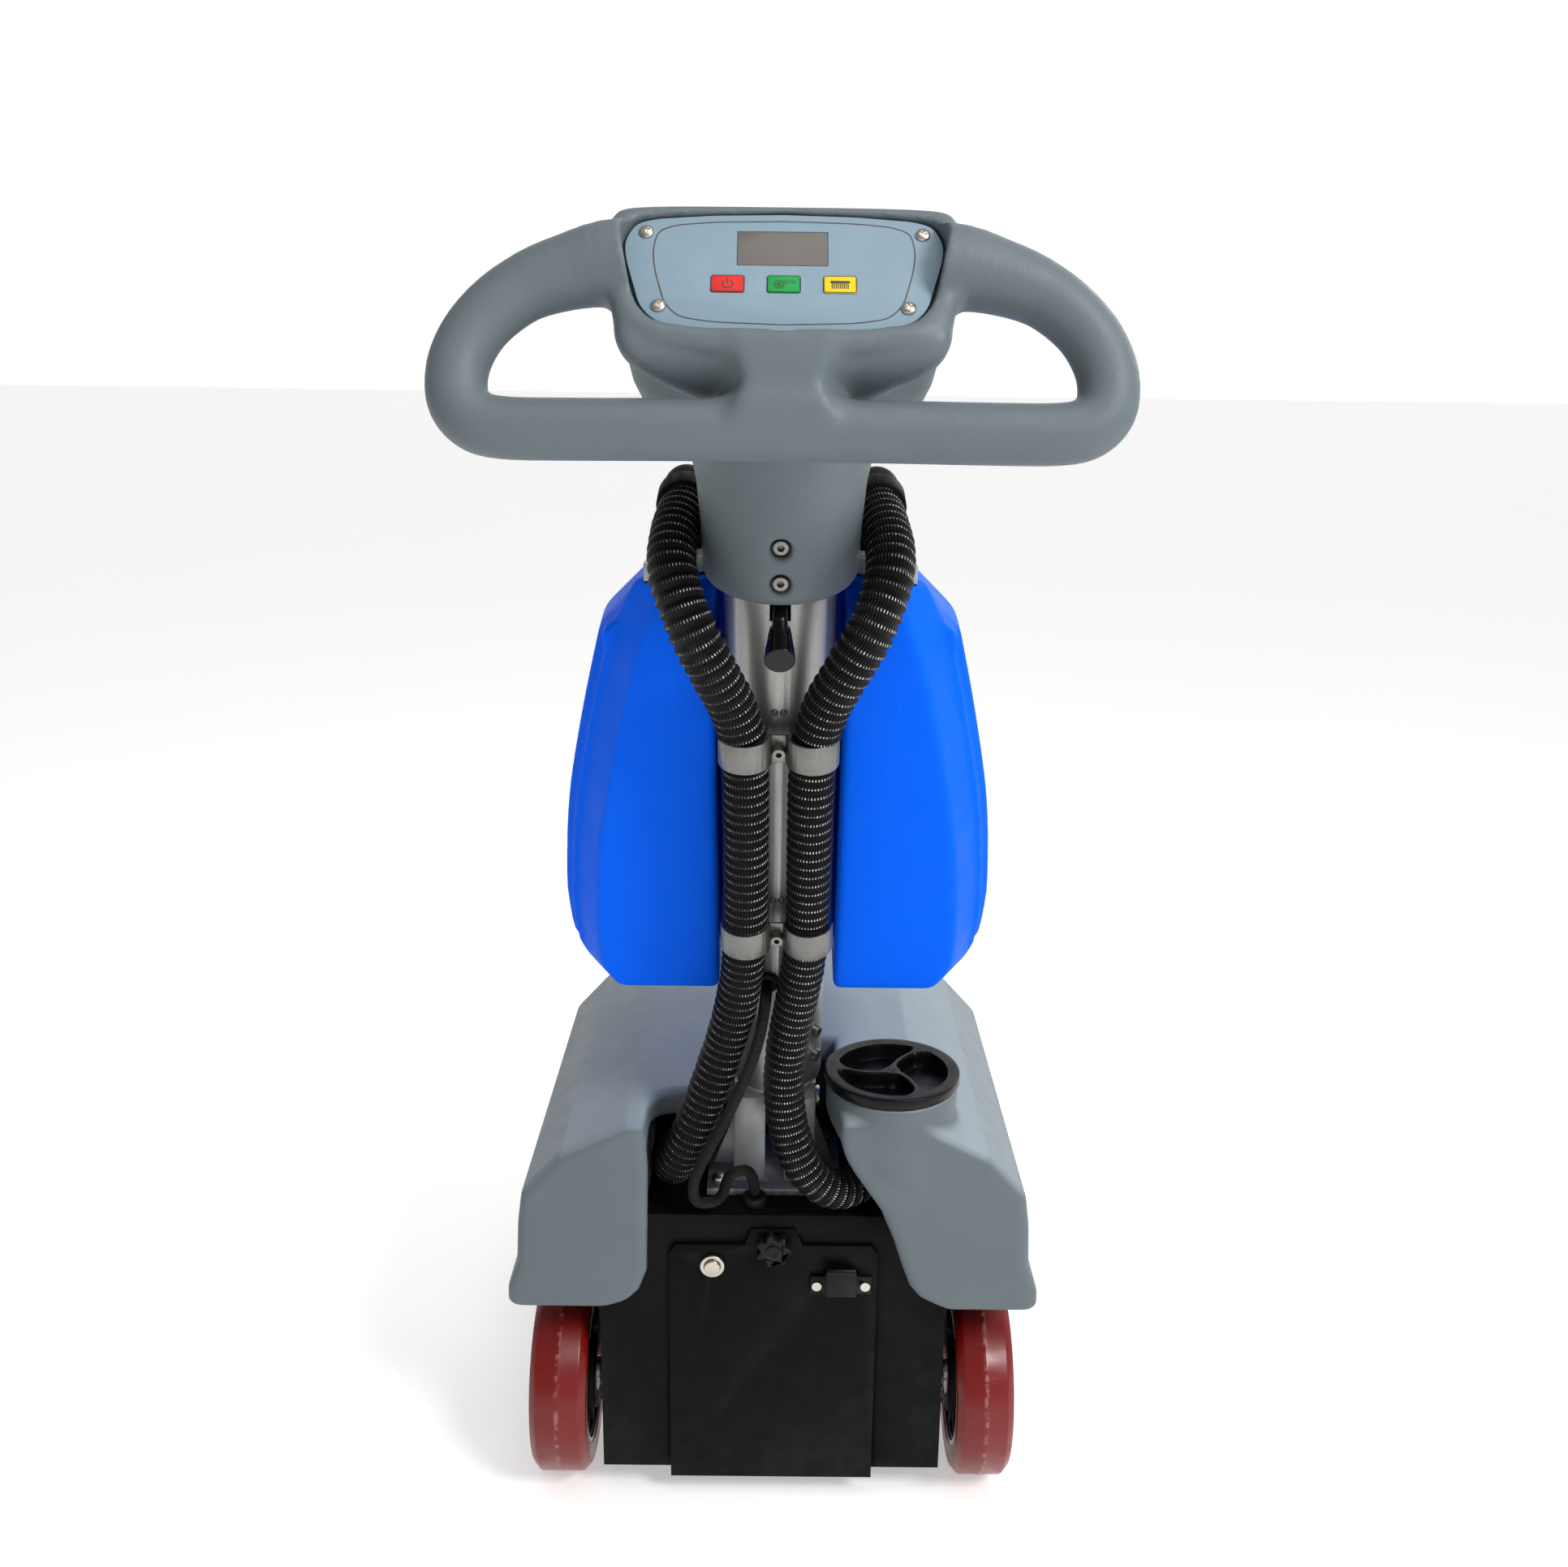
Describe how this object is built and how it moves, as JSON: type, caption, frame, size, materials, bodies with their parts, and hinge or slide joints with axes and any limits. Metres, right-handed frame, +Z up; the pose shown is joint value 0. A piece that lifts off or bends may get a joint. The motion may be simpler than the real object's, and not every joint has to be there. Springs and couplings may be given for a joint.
{
  "type": "walk-behind floor scrubber dryer",
  "caption": "Small walk-behind wet dry floor scrubber with a leaning handle column, a recovery tank on it, a saddle solution tank, rear wheels and a disc brush.",
  "frame": {"origin": "on the floor, under the middle of the bounding box", "axes": "+X the operator's right, +Y forward, +Z up"},
  "size_m": [0.436, 0.7709, 1.034],
  "materials": {
    "grey_plastic": "pebbled grey rotomoulded polyethylene",
    "blue_plastic": "saturated blue rotomoulded polyethylene",
    "clear_plastic": "translucent lid",
    "black_plastic": "glossy black plastic",
    "black_matte_plastic": "matte black plastic",
    "black_powder_coat": "satin black powder coat",
    "stainless": "brushed stainless",
    "cast_bracket": "silver painted casting",
    "screw_steel": "bright zinc or nickel",
    "black_rubber": "black rubber",
    "red_tyre": "glossy red polyurethane",
    "hose": "corrugated hose in a braided sleeve",
    "panel": "light blue-grey plate",
    "window": "smoked display window",
    "red_button": "red push button",
    "green_button": "green push button",
    "yellow_button": "yellow push button",
    "board": "circuit board",
    "battery": "battery case",
    "bristle": "nylon bristles",
    "blade_rubber": "natural rubber blade"
  },
  "bodies": {
    "base": {"chassis_box": "black_powder_coat", "motor_controller": "black_matte_plastic", "vacuum_motor": "black_plastic", "water_pump": "black_plastic", "stub_axles": "screw_steel", "wheel_bearings": "screw_steel", "solution_tank": "grey_plastic", "hinge_bracket": "cast_bracket", "bracket_bolts": "screw_steel", "hinge_pin": "screw_steel", "brush_deck": "black_powder_coat", "brush_motor": "black_powder_coat", "splash_skirt": "black_rubber", "squeegee_guides": "screw_steel", "hose_sockets": "black_plastic", "box_grommet": "black_rubber"},
    "battery_drawer": {"drawer_plate": "black_powder_coat", "battery_tray": "black_powder_coat", "battery_pack": "battery", "button_bezel": "screw_steel", "charge_socket": "black_plastic", "socket_screws": "screw_steel"},
    "star_knob": {"star_knob": "black_matte_plastic"},
    "power_button": {"power_button": "screw_steel"},
    "socket_flap": {"socket_flap": "black_plastic"},
    "left_wheel": {"left_tyre": "red_tyre", "left_hub": "black_matte_plastic"},
    "right_wheel": {"right_tyre": "red_tyre", "right_hub": "black_matte_plastic"},
    "brush": {"brush_hub": "cast_bracket", "brush_disc": "black_matte_plastic", "brush_bristles": "bristle"},
    "squeegee": {"squeegee_body": "cast_bracket", "squeegee_blades": "blade_rubber"},
    "vacuum_fan": {"vacuum_fan": "black_plastic"},
    "cap_seal": {"cap_seal": "black_rubber"},
    "filler_cap": {"filler_cap": "black_plastic"},
    "column": {"column_tube": "stainless", "column_foot": "cast_bracket", "column_screws": "screw_steel", "column_grommet": "black_rubber", "hose_clips": "stainless", "hose_cuffs": "black_plastic", "left_hose": "hose", "right_hose": "hose", "control_cable": "hose", "head_housing": "grey_plastic", "control_panel": "panel", "display_window": "window", "panel_screws": "screw_steel", "control_board": "board"},
    "release_lever": {"release_lever": "black_plastic"},
    "lock_rod": {"lock_rod": "screw_steel"},
    "stop_button": {"stop_button": "red_button"},
    "vacuum_button": {"vacuum_button": "green_button"},
    "brush_button": {"brush_button": "yellow_button"},
    "recovery_tank": {"recovery_tank": "blue_plastic", "lid_gasket": "black_rubber"},
    "tank_lid": {"tank_lid": "clear_plastic", "lid_elbows": "black_plastic"}
  },
  "joints": [
    {"name": "left_wheel_spin", "type": "hinge", "parent": "base", "child": "left_wheel", "pos_m": [-0.18, -0.082, 0.085], "axis": [1, 0, 0], "continuous": true},
    {"name": "right_wheel_spin", "type": "hinge", "parent": "base", "child": "right_wheel", "pos_m": [0.18, -0.082, 0.085], "axis": [1, 0, 0], "continuous": true},
    {"name": "brush_spin", "type": "hinge", "parent": "base", "child": "brush", "pos_m": [0, 0.1959, 0.06], "axis": [0, 0, 1], "continuous": true},
    {"name": "squeegee_lift", "type": "slide", "parent": "base", "child": "squeegee", "axis": [0, 0, 1], "range_m": [0, 0.025]},
    {"name": "battery_drawer_slide", "type": "slide", "parent": "base", "child": "battery_drawer", "axis": [0, -1, 0], "range_m": [0, 0.125]},
    {"name": "star_knob_turn", "type": "hinge", "parent": "battery_drawer", "child": "star_knob", "pos_m": [0, -0.15, 0.2525], "axis": [0, -1, 0], "range_deg": [0, 720]},
    {"name": "power_button_press", "type": "slide", "parent": "battery_drawer", "child": "power_button", "axis": [0, 1, 0], "range_m": [0, 0.003], "stiffness_N_per_m": 600},
    {"name": "socket_flap_open", "type": "hinge", "parent": "battery_drawer", "child": "socket_flap", "pos_m": [0.056, -0.1523, 0.232], "axis": [-1, 0, 0], "range_deg": [0, 110], "stiffness_Nm_per_rad": 0.02},
    {"name": "vacuum_fan_spin", "type": "hinge", "parent": "base", "child": "vacuum_fan", "pos_m": [0, 0.055, 0.22], "axis": [0, 0, 1], "continuous": true},
    {"name": "filler_cap_lift", "type": "slide", "parent": "base", "child": "cap_seal", "axis": [0, 0, 1], "range_m": [0, 0.055]},
    {"name": "filler_cap_twist", "type": "hinge", "parent": "cap_seal", "child": "filler_cap", "pos_m": [0.0955, -0.108, 0.386], "axis": [0, 0, 1], "range_deg": [0, 540]},
    {"name": "column_fold", "type": "hinge", "parent": "base", "child": "column", "pos_m": [0, -0.0642, 0.345], "axis": [1, 0, 0], "range_deg": [0, 35], "deforming": ["left_hose", "right_hose", "control_cable"]},
    {"name": "release_lever_press", "type": "hinge", "parent": "column", "child": "release_lever", "pos_m": [0, -0.23473, 0.79658], "axis": [1, 0, 0], "range_deg": [0, 14], "stiffness_Nm_per_rad": 1.5},
    {"name": "lock_rod_lift", "type": "slide", "parent": "column", "child": "lock_rod", "axis": [0, -0.3024, 0.9532], "range_m": [0, 0.0048]},
    {"name": "stop_button_press", "type": "slide", "parent": "column", "child": "stop_button", "axis": [0, 0.788, -0.6157], "range_m": [0, 0.0015], "stiffness_N_per_m": 500},
    {"name": "vacuum_button_press", "type": "slide", "parent": "column", "child": "vacuum_button", "axis": [0, 0.788, -0.6157], "range_m": [0, 0.0015], "stiffness_N_per_m": 500},
    {"name": "brush_button_press", "type": "slide", "parent": "column", "child": "brush_button", "axis": [0, 0.788, -0.6157], "range_m": [0, 0.0015], "stiffness_N_per_m": 500},
    {"name": "recovery_tank_lift_off", "type": "slide", "parent": "column", "child": "recovery_tank", "axis": [0, 0.9532, 0.3024], "range_m": [0, 0.3]},
    {"name": "tank_lid_lift_off", "type": "slide", "parent": "recovery_tank", "child": "tank_lid", "axis": [0, 0.9532, 0.3024], "range_m": [0, 0.35]}
  ],
  "couplings": [
    {"joint": "release_lever_press", "follows": "lock_rod_lift", "rad_per_m": 50}
  ]
}
